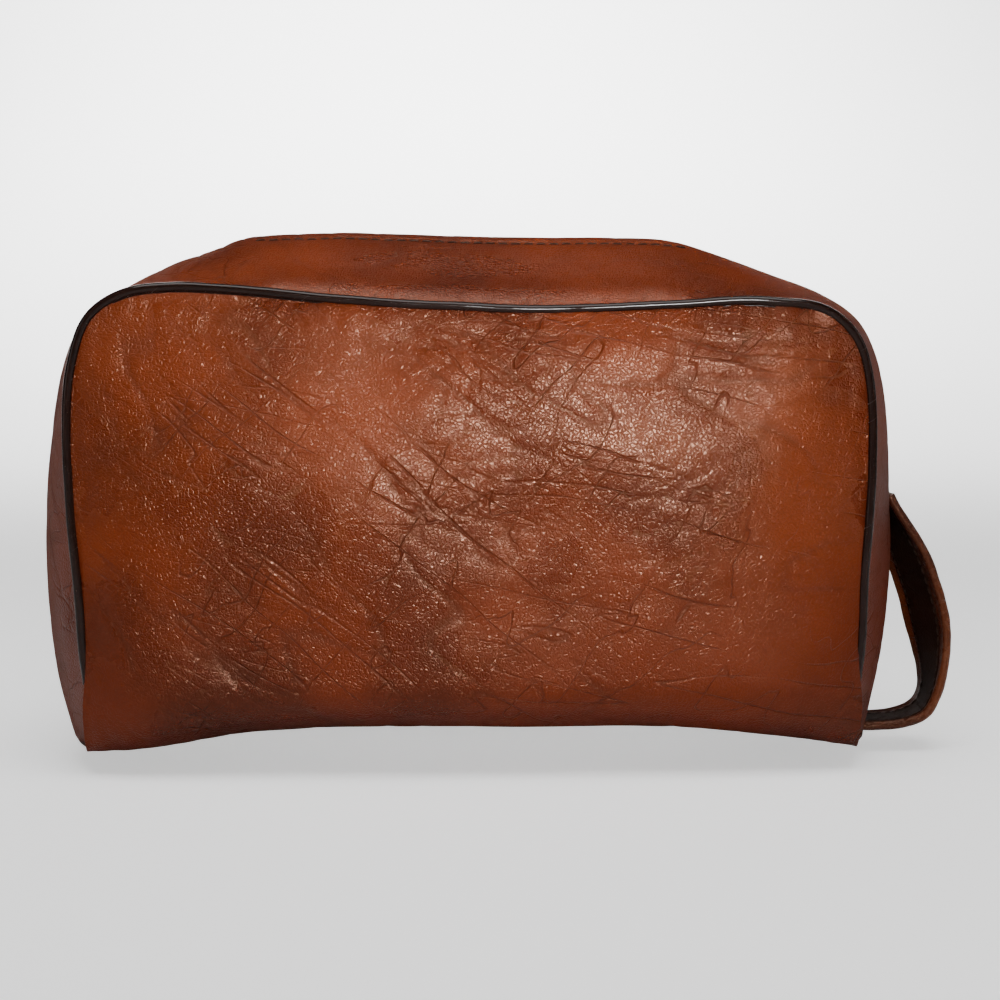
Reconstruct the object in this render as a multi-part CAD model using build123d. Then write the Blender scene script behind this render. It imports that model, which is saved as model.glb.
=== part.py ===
"""Zip-top shaving kit bag: leather body, bulged end gussets, piping, zip and a wrist strap.

Millimetres. X runs along the bag, towards the wrist strap. Y runs from the front to the
back. Z is up, with the origin at the centre of the base, on the plane the bag stands on.
"""
from build123d import *
import math
import os

os.makedirs("parts", exist_ok=True)

# Body
body_width = 256.0            # X, between the two side piping lines at their widest
base_draw_in = 5.5            # each side piping line, from its widest to the base
taper_height = 100.0          # where the side piping lines stop drawing in
body_depth = 90.0             # Y, between the front and back piping lines
body_height = 148.0           # Z, from the base to the top piping line
corner_radius = 24.0          # of the piping line at the two top corners
base_edge_radius = 6.0        # where the body sheet turns under the base
leather = 1.6                 # one thickness of the cover leather
lining = 0.5                  # one thickness of the lining cloth
end_bulge = 15.0              # how far each end gusset swells past the piping line
shoulder_bulge = 4.0          # the same where the gusset turns over the corner
ridge_height = 19.0           # crest above the top piping line
ridge_half_length = 70.0      # half of the level part of the crest
ridge_end_slope = 0.37        # fall of the crest beyond its level part

# Piping
piping_diameter = 3.2
piping_flange = 6.0           # width sewn into the seam
piping_flange_thickness = 1.1
panel_proud = 1.0             # outer face of the body sheet, past the piping's centre
piping_end_height = 9.0       # where the welt runs out into the base seam

# Zip
slot_half_width = 6.0         # half of the gap between the two folded edges
slot_half_length = 75.0
edge_fold_depth = 5.0         # leather turned under along the slot
edge_fold_thickness = 1.4
tape_thickness = 0.6
tape_cover = 11.5             # tape hidden under the leather, along the slope
fold_clearance = 0.1          # from the folded leather down to the tape
tooth_pitch = 2.5
tooth_length = 1.2            # along X
tooth_height = 2.0
tooth_root = 3.2              # outer end of a tooth, from the zip's centre line
centre_gap = 0.5              # inner end of a tooth, from the zip's centre line
chain_half_length = 73.5
stop_length = 2.0
lip_half_length = 44.0        # the stretch of the mouth that swings as one piece
lip_gap = 0.3
lining_gap = 0.4

# Slider and pull
slider_length = 11.0
slider_plate = 1.0
slider_clearance = 0.2        # to the teeth, above and below, and to the tape
slider_side_clearance = 0.3
slider_flange = 0.9
divider_width = 0.8
bail_length = 6.4
bail_width = 2.0
bail_wall = 1.0
bail_window = 1.2
pull_length = 21.0            # from its pivot to the tip
pull_width = 7.2
pull_thickness = 0.9
pull_hole_radius = 1.6
pivot_radius = 0.5

# Thread
stitch_pitch = 4.2
stitch_length = 3.3
stitch_width = 0.7
stitch_height = 0.35
stitch_margin = 3.5           # from the folded edge to the row, along the slope

# Wrist strap
strap_width = 23.0
strap_leather = 2.6
strap_liner = 0.8
strap_liner_width = 15.0
strap_top = 81.0              # height of the upper end
strap_foot = 3.2              # height of the lower end
strap_stand_out = 32.2        # outermost point of its middle line, past the side piping
strap_swivel_radius = 14.5    # ends of the loop, from the line through its two anchors
strap_swivel_gap = 0.3
running_gap = 0.2

# Worked-out places
half_width = body_width / 2
piping_y = body_depth / 2
piping_radius = piping_diameter / 2
panel_outer_y = piping_y + panel_proud
panel_inner_y = panel_outer_y - leather
band_y = panel_inner_y - piping_flange_thickness
panel_inset = max(piping_radius, leather) + running_gap
crest_z = body_height + ridge_height
slope_angle = math.degrees(math.atan(ridge_height / (band_y - slot_half_width)))
folded = leather + edge_fold_thickness
chain_drop = folded / math.cos(math.radians(slope_angle)) + fold_clearance + tape_thickness / 2
chain_z = crest_z - chain_drop
lining_drop = chain_drop + (tape_thickness / 2 + running_gap) / math.cos(math.radians(slope_angle))
band_bottom = 0.6
parked = chain_half_length - stop_length + running_gap - slider_length / 2 - 0.3


def save(name, shape):
    """Writes one sub-part to its own STEP file."""
    export_step(shape, f"parts/{name}.step")


def block(x, y, z):
    """A box from three (low, high) ranges."""
    size = [high - low for low, high in (x, y, z)]
    centre = [(high + low) / 2 for low, high in (x, y, z)]
    return Pos(*centre) * Box(*size)


def group(solids):
    """Several separate solids as one sub-part."""
    return Compound(children=list(solids))


def mirror_y(shape):
    """The same piece on the back of the bag."""
    return shape.mirror(Plane.XZ)


def mirror_x(shape):
    """The same piece on the other end of the bag."""
    return shape.mirror(Plane.YZ)


# ---------------------------------------------------------------- body sheet and its lining
def seam_half(z):
    """Half of the distance between the side piping lines at a height."""
    share = min(z / taper_height, 1.0)
    return half_width - base_draw_in * (1 - share)


def seam_outline(inset, bottom):
    """Front view of the piping line, moved inwards by inset, as a face on the XZ plane."""
    half = half_width - inset
    top = body_height - inset
    foot = seam_half(bottom) - inset
    points = [(foot, bottom), (half, taper_height), (half, top)]
    points += [(-x, z) for x, z in points[::-1]]
    sheet = Polygon(*points, align=None)
    corners = [v for v in sheet.vertices() if v.Y > top - 0.01]
    return fillet(corners, corner_radius - inset)


def outline_prism(inset, bottom, y_low, y_high):
    """The seam outline, given a thickness between two Y values."""
    face = Plane.XZ * seam_outline(inset, bottom)
    return Pos(0, y_low, 0) * extrude(face, y_high - y_low, dir=(0, 1, 0))


def trough(outer_y, bottom, radius, half_length):
    """Solid whose YZ section is a box with its two lower edges rounded."""
    solid = block((-half_length, half_length), (-outer_y, outer_y), (bottom, body_height * 2))
    edges = [
        e
        for e in solid.edges().filter_by(Axis.X)
        if e.center().Z < bottom + 0.01
    ]
    return fillet(edges, radius)


def body_sheet(outer_y, thickness, inset, bottom, radius):
    """Front, base and back as one folded sheet, trimmed to the seam outline."""
    outer = trough(outer_y, bottom, radius, half_width)
    inner = trough(outer_y - thickness, bottom + thickness, radius - thickness, half_width + 1)
    sheet = outer - inner
    trim = outline_prism(inset, -1, -outer_y - 1, outer_y + 1)
    return sheet & trim


body_panel = body_sheet(panel_outer_y, leather, panel_inset, 0.0, base_edge_radius)
lining_outer_y = band_y - running_gap
body_lining = body_sheet(
    lining_outer_y,
    lining,
    leather + lining_gap + lining + running_gap,
    leather,
    base_edge_radius - leather,
)
save("body_panel", body_panel)
save("body_lining", body_lining)


# ---------------------------------------------------------------- piping
def piping():
    """Round welt along one side, the top and the other side, with its sewn flange."""
    corners = [
        (seam_half(piping_end_height), -piping_y, piping_end_height),
        (half_width, -piping_y, taper_height),
        (half_width, -piping_y, body_height),
    ]
    corners += [(-x, y, z) for x, y, z in corners[::-1]]
    path = FilletPolyline(*corners, radius=corner_radius)
    start = Plane(origin=path @ 0, z_dir=path % 0)
    welt = sweep(start * Circle(piping_radius), path=path)
    flange = outline_prism(0, piping_end_height, -panel_inner_y, -band_y)
    flange -= outline_prism(piping_flange, -1, -panel_inner_y - 1, -band_y + 1)
    return welt + flange


front_piping = piping()
save("front_piping", front_piping)
save("back_piping", mirror_y(front_piping))


# ---------------------------------------------------------------- gusset band
def band_outline(y, rise, bulge, shoulder, inset, drop, bottom):
    """Section of the band at one Y: side, corner, fall of the crest and level crest."""
    foot = seam_half(bottom) - inset
    corner_z = body_height - corner_radius
    middle_z = corner_z / 2
    corner_x = half_width - corner_radius
    fall = (corner_x - ridge_half_length) * ridge_end_slope * (rise / ridge_height)
    top = body_height + rise - drop
    side_mid = (seam_half(middle_z) - inset + bulge, middle_z)
    side_top = (half_width - inset + shoulder, corner_z)
    shoulder_point = (corner_x, top - fall)
    angle = math.radians(45)
    bend = (
        side_top[0] - (side_top[0] - corner_x) * (1 - math.cos(angle)),
        corner_z + (shoulder_point[1] - corner_z) * math.sin(angle),
    )
    ridge_end = (ridge_half_length, top)

    def side(sign):
        """One end of the section, from the base up to the level crest."""
        at = [(sign * px, pz) for px, pz in (
            (foot, bottom), side_mid, side_top, bend, shoulder_point, ridge_end
        )]
        return [ThreePointArc(*at[:3]), ThreePointArc(*at[2:5]), Line(*at[4:])]

    left = side(-1)
    right = side(1)
    crest = Line((-ridge_end[0], top), ridge_end)
    base = Line((foot, bottom), (-foot, bottom))
    face = make_face(left + [crest] + right[::-1] + [base])
    return Pos(0, y, 0) * (Plane.XZ * face)


def band_volume(inset, drop, bottom, reach):
    """Solid under the gusset band, between the front and back seams."""
    seam = (0.0, 0.0, 0.0)
    crest = (ridge_height, end_bulge, shoulder_bulge)
    stations = [(-reach, seam), (-slot_half_width, crest), (slot_half_width, crest), (reach, seam)]
    faces = [band_outline(y, *form, inset, drop, bottom) for y, form in stations]
    return loft(faces, ruled=True)


gusset_bottom_trim = trough(panel_outer_y, band_bottom, base_edge_radius, half_width * 2)
zip_slot = block(
    (-slot_half_length, slot_half_length),
    (-slot_half_width, slot_half_width),
    (body_height, crest_z + 5),
)
right_end = block(
    (lip_half_length + lip_gap, half_width * 2),
    (-body_depth, body_depth),
    (-5, crest_z + 5),
)
band_leather = band_volume(0, 0, band_bottom, band_y) - band_volume(leather, leather, -5, band_y)
band_leather = (band_leather & gusset_bottom_trim) - zip_slot
band_lining = band_volume(leather + lining_gap, lining_drop, leather + lining, lining_outer_y - lining)
band_lining -= band_volume(
    leather + lining_gap + lining, lining_drop + lining, -5, lining_outer_y - lining
)
lining_slot = block(
    (-slot_half_length, slot_half_length),
    (-slot_half_width - 1.5, slot_half_width + 1.5),
    (body_height - 10, crest_z + 5),
)
band_lining -= lining_slot
band_lining &= trough(
    lining_outer_y - lining - running_gap,
    leather + lining + running_gap,
    base_edge_radius - leather - lining,
    half_width * 2,
)
end_gusset = band_leather & right_end
end_lining = band_lining & right_end
save("end_gusset_right", end_gusset)
save("end_gusset_left", mirror_x(end_gusset))
save("end_lining_right", end_lining)
save("end_lining_left", mirror_x(end_lining))


# ---------------------------------------------------------------- mouth lips and zip
def on_slope(along, depth):
    """YZ point on the front slope: along from the slot's edge, depth below the surface."""
    c = math.cos(math.radians(slope_angle))
    s = math.sin(math.radians(slope_angle))
    return (-slot_half_width - along * c + depth * s, crest_z - along * s - depth * c)


def strip(points, x_low, x_high):
    """YZ outline carried along X."""
    face = Plane.YZ * Polygon(*points, align=None)
    return Pos(x_low, 0, 0) * extrude(face, x_high - x_low, dir=(1, 0, 0))


slope_length = (band_y - slot_half_width) / math.cos(math.radians(slope_angle))
lip_length = slope_length - 1.0


def lip_leather(x_low, x_high):
    """Front half of the top band, with its edge folded under along the slot."""
    slab = strip(
        [on_slope(0, 0), on_slope(lip_length, 0), on_slope(lip_length, leather), on_slope(0, leather)],
        x_low,
        x_high,
    )
    under = strip(
        [
            on_slope(0, leather),
            on_slope(edge_fold_depth, leather),
            on_slope(edge_fold_depth, folded),
            on_slope(0, folded),
        ],
        x_low,
        x_high,
    )
    return slab + under


def lip_lining(x_low, x_high):
    """Lining under the front half of the top band."""
    depth = lining_drop * math.cos(math.radians(slope_angle))
    return strip(
        [
            on_slope(2, depth),
            on_slope(lip_length - 1, depth),
            on_slope(lip_length - 1, depth + lining),
            on_slope(2, depth + lining),
        ],
        x_low,
        x_high,
    )


def tape(x_low, x_high):
    """Front half of the zip tape: level beside the teeth, then down under the leather."""
    half = tape_thickness / 2
    c = math.cos(math.radians(slope_angle))
    s = math.sin(math.radians(slope_angle))
    bend_y = -slot_half_width
    low_y = bend_y - tape_cover * c
    fall = tape_cover * s
    points = [
        (-tooth_root, chain_z - half),
        (-tooth_root, chain_z + half),
        (bend_y, chain_z + half),
        (low_y, chain_z + half - fall),
        (low_y, chain_z - half - fall),
        (bend_y, chain_z - half),
    ]
    return strip(points, x_low, x_high)


def teeth(x_low, x_high):
    """Front row of teeth between two X values, each one a separate solid."""
    count = int((x_high - x_low - tooth_length) / tooth_pitch) + 1
    span = (count - 1) * tooth_pitch
    first = (x_low + x_high - span) / 2
    half_height = tooth_height / 2
    return [
        block(
            (first + i * tooth_pitch - tooth_length / 2, first + i * tooth_pitch + tooth_length / 2),
            (-tooth_root, -centre_gap),
            (chain_z - half_height, chain_z + half_height),
        )
        for i in range(count)
    ]


def stitches(x_low, x_high):
    """Front row of stitches, each one a short flat bar lying on the slope."""
    count = int((x_high - x_low) / stitch_pitch)
    first = (x_low + x_high - (count - 1) * stitch_pitch) / 2
    near = stitch_margin - stitch_width / 2
    far = stitch_margin + stitch_width / 2
    points = [on_slope(near, 0), on_slope(far, 0), on_slope(far, -stitch_height)]
    points.append(on_slope(near, -stitch_height))
    half = stitch_length / 2
    middles = [first + i * stitch_pitch for i in range(count)]
    return [strip(points, middle - half, middle + half) for middle in middles]


lip = (-lip_half_length, lip_half_length)
lip_parts = {
    "top_band": lip_leather(*lip),
    "top_lining": lip_lining(*lip),
    "zip_tape": tape(*lip),
}
lip_rows = {"zip_teeth": teeth(*lip), "zip_thread": stitches(*lip)}
for name, shape in lip_parts.items():
    save(f"{name}_front", shape)
    save(f"{name}_back", mirror_y(shape))
for name, row in lip_rows.items():
    save(f"{name}_front", group(row))
    save(f"{name}_back", group([mirror_y(piece) for piece in row]))

# Beyond the lips the zip runs on to its stops, fixed under the band.
fixed = (lip_half_length + lip_gap, chain_half_length - stop_length)
fixed_tape = tape(fixed[0], chain_half_length)
fixed_teeth = teeth(*fixed)
fixed_thread = stitches(lip_half_length + lip_gap, ridge_half_length)
tape_pair = [fixed_tape, mirror_y(fixed_tape)]
teeth_pair = fixed_teeth + [mirror_y(tooth) for tooth in fixed_teeth]
thread_pair = fixed_thread + [mirror_y(bar) for bar in fixed_thread]
save("zip_tape_end_right", group(tape_pair))
save("zip_tape_end_left", group([mirror_x(piece) for piece in tape_pair]))
save("zip_teeth_end_right", group(teeth_pair))
save("zip_teeth_end_left", group([mirror_x(piece) for piece in teeth_pair]))
save("zip_thread_ends", group(thread_pair + [mirror_x(piece) for piece in thread_pair]))

stop_x = (chain_half_length - stop_length + running_gap, chain_half_length)
stop_z = (chain_z - tooth_height / 2, chain_z + tooth_height / 2)
top_stop = block((-stop_x[1], -stop_x[0]), (-tooth_root, -centre_gap), stop_z)
bottom_stop = block(stop_x, (-tooth_root, tooth_root), stop_z)
save("zip_top_stops", group([top_stop, mirror_y(top_stop)]))
save("zip_bottom_stop", bottom_stop)


# ---------------------------------------------------------------- slider and pull
def slider_body():
    """Two plates joined by the divider, with side flanges and a bail, at the zip's left end."""
    half = slider_length / 2
    inner_y = tooth_root + slider_side_clearance
    outer_y = inner_y + slider_flange
    teeth_z = tooth_height / 2 + slider_clearance
    tape_z = tape_thickness / 2 + slider_clearance
    x = (-half, half)
    solid = block(x, (-outer_y, outer_y), (teeth_z, teeth_z + slider_plate))
    solid += block(x, (-outer_y, outer_y), (-teeth_z - slider_plate, -teeth_z))
    for side in (-1, 1):
        y = tuple(sorted((side * inner_y, side * outer_y)))
        solid += block(x, y, (tape_z, teeth_z))
        solid += block(x, y, (-teeth_z, -tape_z))
    solid += block((-half + 1, half - 1), (-divider_width / 2, divider_width / 2), (-teeth_z, teeth_z))
    corners = [
        e
        for e in solid.edges().filter_by(Axis.Z)
        if abs(abs(e.center().X) - half) < 0.01 and abs(abs(e.center().Y) - outer_y) < 0.01
    ]
    solid = fillet(corners, slider_flange * 0.9)
    floor = teeth_z + slider_plate
    top = floor + bail_window + bail_wall
    x_bail = (-bail_length / 2, bail_length / 2)
    bail = block(x_bail, (-bail_width / 2, bail_width / 2), (floor - 0.2, top))
    window = (-bail_length / 2 + bail_wall, bail_length / 2 - bail_wall)
    bail -= block(window, (-bail_width, bail_width), (floor, floor + bail_window))
    return Pos(-parked, 0, chain_z) * (solid + bail)


pivot_z = chain_z + tooth_height / 2 + slider_clearance + slider_plate + bail_window / 2


def pull_tab():
    """Flat tab with two arms and a crossbar through the bail, lying along the zip."""
    half = pull_thickness / 2
    arm_in = bail_width / 2 + running_gap
    arm_out = arm_in + 1.2
    bar = Rot(90, 0, 0) * Cylinder(pivot_radius, arm_out * 2)
    start = bail_length / 2 + 1.4
    solid = bar
    for side in (-1, 1):
        y = tuple(sorted((side * arm_in, side * arm_out)))
        solid += block((0, start + 0.5), y, (-half, half))
    plate = block((start, pull_length), (-pull_width / 2, pull_width / 2), (-half, half))
    plate = fillet(plate.edges().filter_by(Axis.Z), 1.8)
    hole = Cylinder(pull_hole_radius, pull_thickness * 3)
    plate -= Pos(pull_length - pull_hole_radius - 1.8, 0, 0) * hole
    return Pos(-parked, 0, pivot_z) * (solid + plate)


save("zip_slider", slider_body())
save("zip_pull", pull_tab())


# ---------------------------------------------------------------- wrist strap
strap_reach = half_width + strap_stand_out
anchor_top = (half_width + end_bulge - 2.8, strap_top)
anchor_foot = (half_width - base_draw_in + 1.5, strap_foot)
strap_route = [
    anchor_top,
    (anchor_top[0] + 9.3, strap_top - 17.5),
    (strap_reach - 1.7, strap_top - 39.0),
    (strap_reach, 20.0),
    (strap_reach - 5.7, 4.5),
    (anchor_foot[0] + 14.0, strap_foot - 0.8),
    anchor_foot,
]


def strap_bends():
    """Radius of each bend: as large as the shorter of its two runs allows."""
    radii = []
    for before, here, after in zip(strap_route, strap_route[1:], strap_route[2:]):
        run_in = Vector(*here) - Vector(*before)
        run_out = Vector(*after) - Vector(*here)
        half_turn = math.radians(run_in.get_angle(run_out)) / 2
        radii.append(0.45 * min(run_in.length, run_out.length) / math.tan(half_turn))
    return radii


def strap_band(inner, outer, width):
    """Part of the strap between two offsets from its middle line, inner side first."""
    path = FilletPolyline(*[(x, 0, z) for x, z in strap_route], radius=strap_bends())
    start = Plane(origin=path @ 0, x_dir=(0, 1, 0), z_dir=path % 0)
    section = start * Pos(0, (inner + outer) / 2) * Rectangle(width, outer - inner)
    return sweep(section, path=path)


swivel_lean = math.degrees(math.atan2(anchor_top[0] - anchor_foot[0], strap_top - strap_foot))


def swivel_rod(radius):
    """Cylinder about the line through the strap's two anchors."""
    middle = ((anchor_top[0] + anchor_foot[0]) / 2, 0, (anchor_top[1] + anchor_foot[1]) / 2)
    return Pos(*middle) * Rot(0, swivel_lean, 0) * Cylinder(radius, body_height * 2)


gusset_solid = band_volume(-running_gap, -running_gap, -running_gap, band_y)
strap_half = (strap_leather + strap_liner) / 2
layers = {
    "wrist_strap": strap_band(-strap_half + strap_liner, strap_half, strap_width),
    "strap_liner": strap_band(-strap_half, -strap_half + strap_liner, strap_liner_width),
}
for name, shape in layers.items():
    shape -= gusset_solid
    save(name, shape - swivel_rod(strap_swivel_radius + strap_swivel_gap / 2))
    save(f"{name}_ends", shape & swivel_rod(strap_swivel_radius - strap_swivel_gap / 2))

print("hinge lines: y", piping_y, "z", body_height)
print("slider parked at", parked, "travel", parked * 2, "pivot z", pivot_z, "chain z", chain_z)
print("strap axis through", anchor_foot, anchor_top, "lean", swivel_lean)
print("teeth per lip row", len(teeth(*lip)), "stitches", len(stitches(*lip)))
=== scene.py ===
"""Visual model of a zip-top shaving kit bag: soft creased leather, piping, zip and wrist strap.

Shapes are worked out in millimetres in the shared frame (X towards the strap, Z up) and
written to the meshes in metres.
"""

import logging
import math
from dataclasses import dataclass, field
from enum import Enum
from itertools import product
from typing import Sequence

import bpy
import numpy as np
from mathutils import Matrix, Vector

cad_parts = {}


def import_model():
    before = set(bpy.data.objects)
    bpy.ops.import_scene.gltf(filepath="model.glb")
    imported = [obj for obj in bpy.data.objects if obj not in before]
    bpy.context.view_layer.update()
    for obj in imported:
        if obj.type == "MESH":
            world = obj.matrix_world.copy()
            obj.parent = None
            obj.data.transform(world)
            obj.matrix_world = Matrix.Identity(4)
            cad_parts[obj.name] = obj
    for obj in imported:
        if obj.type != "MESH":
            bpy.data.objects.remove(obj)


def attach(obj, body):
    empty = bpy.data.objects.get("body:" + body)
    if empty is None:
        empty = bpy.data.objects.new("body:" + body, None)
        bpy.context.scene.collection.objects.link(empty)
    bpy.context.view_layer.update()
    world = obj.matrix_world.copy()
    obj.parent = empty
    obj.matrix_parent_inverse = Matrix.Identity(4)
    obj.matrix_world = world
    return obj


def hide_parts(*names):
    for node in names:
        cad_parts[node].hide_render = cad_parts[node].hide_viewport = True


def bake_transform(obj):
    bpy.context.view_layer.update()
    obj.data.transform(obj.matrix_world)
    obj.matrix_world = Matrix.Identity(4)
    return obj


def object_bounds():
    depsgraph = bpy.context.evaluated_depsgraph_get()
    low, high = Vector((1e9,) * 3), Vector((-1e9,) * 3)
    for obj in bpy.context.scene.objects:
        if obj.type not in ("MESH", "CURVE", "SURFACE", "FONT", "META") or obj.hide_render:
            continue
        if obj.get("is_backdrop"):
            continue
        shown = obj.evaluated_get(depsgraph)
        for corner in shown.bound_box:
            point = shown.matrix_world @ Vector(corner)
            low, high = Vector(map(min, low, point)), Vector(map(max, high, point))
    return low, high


LOG = logging.getLogger("kit_bag")
MM = 0.001
Array = np.ndarray


class Side(Enum):
    """Which half of the bag a piece is on, across the zip."""

    FRONT = -1
    BACK = 1

    @property
    def lip(self) -> str:
        """Name of this side's lip body."""
        return f"{self.name.lower()}_lip"


class End(Enum):
    """Which end of the bag a piece is on, along the zip."""

    LEFT = -1
    RIGHT = 1


# ---------------------------------------------------------------- numeric helpers
def smoothstep(low: float, high: float, value: Array) -> Array:
    """Ease from 0 at low to 1 at high."""
    t = np.clip((np.asarray(value, float) - low) / (high - low), 0, 1)
    return t * t * (3 - 2 * t)


def spline(knots: Array, at: Array) -> Array:
    """Catmull-Rom curve through knots.

    Args:
        knots: Points, one row each.
        at: Parameters, where a whole number is a knot.

    Returns:
        One row for each parameter.
    """
    knots = np.asarray(knots, float)
    last = len(knots) - 1
    padded = np.vstack([2 * knots[0] - knots[1], knots, 2 * knots[-1] - knots[-2]])
    cell = np.clip(np.floor(at).astype(int), 0, last - 1)
    t = (at - cell)[:, None]
    a, b, c, d = (padded[cell + i] for i in range(4))
    return 0.5 * (
        2 * b + (c - a) * t + (2 * a - 5 * b + 4 * c - d) * t**2 + (3 * (b - c) + d - a) * t**3
    )


def even_steps(points: Array, keys: Array, spacing: float) -> Array:
    """Keys at nearly even distances along a path whose points are given at dense keys."""
    run = np.concatenate([[0], np.cumsum(np.linalg.norm(np.diff(points, axis=0), axis=1))])
    count = max(2, int(round(run[-1] / spacing)) + 1)
    return np.interp(np.linspace(0, run[-1], count), run, keys)


def unit(vectors: Array) -> Array:
    """Vectors scaled to length one."""
    return vectors / np.maximum(np.linalg.norm(vectors, axis=-1, keepdims=True), 1e-9)


def grid_normals(grid: Array, closed: bool = False) -> Array:
    """Unit normals of a grid of points, from its row and column directions.

    Args:
        grid: Points with shape (rows, columns, 3).
        closed: The last column joins the first.
    """
    down = np.gradient(grid, axis=0)
    if closed:
        across = np.roll(grid, -1, axis=1) - np.roll(grid, 1, axis=1)
    else:
        across = np.gradient(grid, axis=1)
    return unit(np.cross(down, across))


class Noise:
    """Smooth repeatable noise in three dimensions, between about -1 and 1."""

    def __init__(self, seed: int) -> None:
        """Make the gradient table from a seed."""
        random = np.random.default_rng(seed)
        self._order = random.permutation(1024)
        self._slopes = unit(random.normal(size=(1024, 3)))

    def __call__(self, points: Array) -> Array:
        """Value at each point."""
        cell = np.floor(points).astype(int)
        inside = points - cell
        fade = inside**3 * (inside * (inside * 6 - 15) + 10)
        total = np.zeros(points.shape[:-1])
        for corner in product((0, 1), repeat=3):
            key = self._order[(cell[..., 0] + corner[0]) & 1023]
            key = self._order[(key + cell[..., 1] + corner[1]) & 1023]
            key = self._order[(key + cell[..., 2] + corner[2]) & 1023]
            dot = ((inside - corner) * self._slopes[key]).sum(-1)
            share = np.where(corner, fade, 1 - fade).prod(-1)
            total += dot * share
        return total * 1.6


# ---------------------------------------------------------------- mesh helpers
def quads(rows: int, columns: int, closed: bool = False, offset: int = 0) -> Array:
    """Corner numbers of the faces of a grid."""
    wide = columns if closed else columns - 1
    r, c = np.meshgrid(np.arange(rows - 1), np.arange(wide), indexing="ij")
    n = (c + 1) % columns
    faces = np.stack(
        [r * columns + c, (r + 1) * columns + c, (r + 1) * columns + n, r * columns + n], -1
    )
    return faces.reshape(-1, 4) + offset


@dataclass
class MeshData:
    """Points, faces, shading normals and painted masks of one mesh, in millimetres."""

    points: list[Array] = field(default_factory=list)
    faces: list[Array] = field(default_factory=list)
    normals: list[Array] = field(default_factory=list)
    masks: dict[str, list[Array]] = field(default_factory=dict)
    count: int = 0

    def add(self, points: Array, faces: Array, normals: Array | None = None, **masks: Array) -> None:
        """Append a part; faces count from the part's own first point."""
        points = np.asarray(points, float).reshape(-1, 3)
        self.points.append(points)
        self.faces.append(np.asarray(faces, int) + self.count)
        self.normals.append(
            np.full_like(points, np.nan) if normals is None else normals.reshape(-1, 3)
        )
        for name, values in masks.items():
            self.masks.setdefault(name, []).append(np.asarray(values, float).reshape(-1))
        self.count += len(points)

    def build(self, name: str, material: bpy.types.Material) -> bpy.types.Object:
        """Make the object.

        Args:
            name: Name of the piece.
            material: Its finish.

        Returns:
            The object, in metres, linked to the scene.
        """
        points = np.vstack(self.points) * MM
        mesh = bpy.data.meshes.new(name)
        faces = [row for part in self.faces for row in part.tolist()]
        mesh.from_pydata(points.tolist(), [], faces)
        mesh.polygons.foreach_set("use_smooth", np.ones(len(mesh.polygons), bool))
        rest = mesh.attributes.new("rest", "FLOAT_VECTOR", "POINT")
        rest.data.foreach_set("vector", points.astype(np.float32).ravel())
        for mask, values in self.masks.items():
            layer = mesh.attributes.new(mask, "FLOAT", "POINT")
            layer.data.foreach_set("value", np.concatenate(values).astype(np.float32))
        normals = np.vstack(self.normals)
        if not np.isnan(normals).any():
            mesh.normals_split_custom_set_from_vertices(normals.tolist())
        mesh.materials.append(material)
        piece = bpy.data.objects.new(name, mesh)
        bpy.context.scene.collection.objects.link(piece)
        return piece


def shell(outer: Array, normals: Array, thickness: float, **masks: Array) -> MeshData:
    """A sheet with thickness below its outer points, closed around its border.

    Args:
        outer: Outer points with shape (rows, columns, 3).
        normals: Outward unit normals of the same shape.
        thickness: How far in the inner face lies.
        masks: Painted values with shape (rows, columns).
    """
    rows, columns = outer.shape[:2]
    data = MeshData()
    data.add(outer, quads(rows, columns), normals, **masks)
    inner = quads(rows, columns)[:, ::-1]
    data.add(outer - normals * thickness, inner, -normals, **masks)
    index = np.arange(rows * columns).reshape(rows, columns)
    ring = np.concatenate([index[0], index[1:, -1], index[-1, -2::-1], index[-2:0:-1, 0]])
    ahead = np.roll(ring, -1)
    far = rows * columns
    data.faces.append(np.stack([ring, ahead, ahead + far, ring + far], -1))
    return data


def tube(path: Array, across: Array, up: Array, section: Array, closed: bool = False) -> MeshData:
    """Sweep a closed section along a path.

    Args:
        path: Points along the middle.
        across: Unit vector of the section's first axis at each point.
        up: Unit vector of its second axis at each point.
        section: Section points, shape (n, 2) or (points, n, 2).
        closed: The path is a loop.
    """
    section = np.broadcast_to(section, (len(path),) + section.shape[-2:])
    grid = path[:, None] + section[..., :1] * across[:, None] + section[..., 1:] * up[:, None]
    data = MeshData()
    rows, columns = grid.shape[:2]
    data.add(grid, quads(rows, columns, closed=True))
    if not closed:
        ends = (grid[0].mean(0), grid[-1].mean(0))
        for row, centre in zip((0, rows - 1), ends):
            ring = row * columns + np.arange(columns)
            data.points.append(centre[None])
            data.normals.append(np.full((1, 3), np.nan))
            fan = np.stack([ring, np.roll(ring, -1), np.full(columns, data.count)], -1)
            data.faces.append(fan if row == 0 else fan[:, ::-1])
            data.count += 1
    return data


def ellipse(half_width: float, half_height: float, count: int) -> Array:
    """Points around an ellipse."""
    turn = np.linspace(0, 2 * np.pi, count, endpoint=False)
    return np.stack([half_width * np.cos(turn), half_height * np.sin(turn)], -1)


# ---------------------------------------------------------------- finishes
def linear(red: float, green: float, blue: float) -> tuple[float, float, float, float]:
    """An sRGB colour, 0 to 255, as the linear values that shaders take."""
    channels = [c / 255 for c in (red, green, blue)]
    return (*[c / 12.92 if c < 0.04 else ((c + 0.055) / 1.055) ** 2.4 for c in channels], 1.0)


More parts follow.
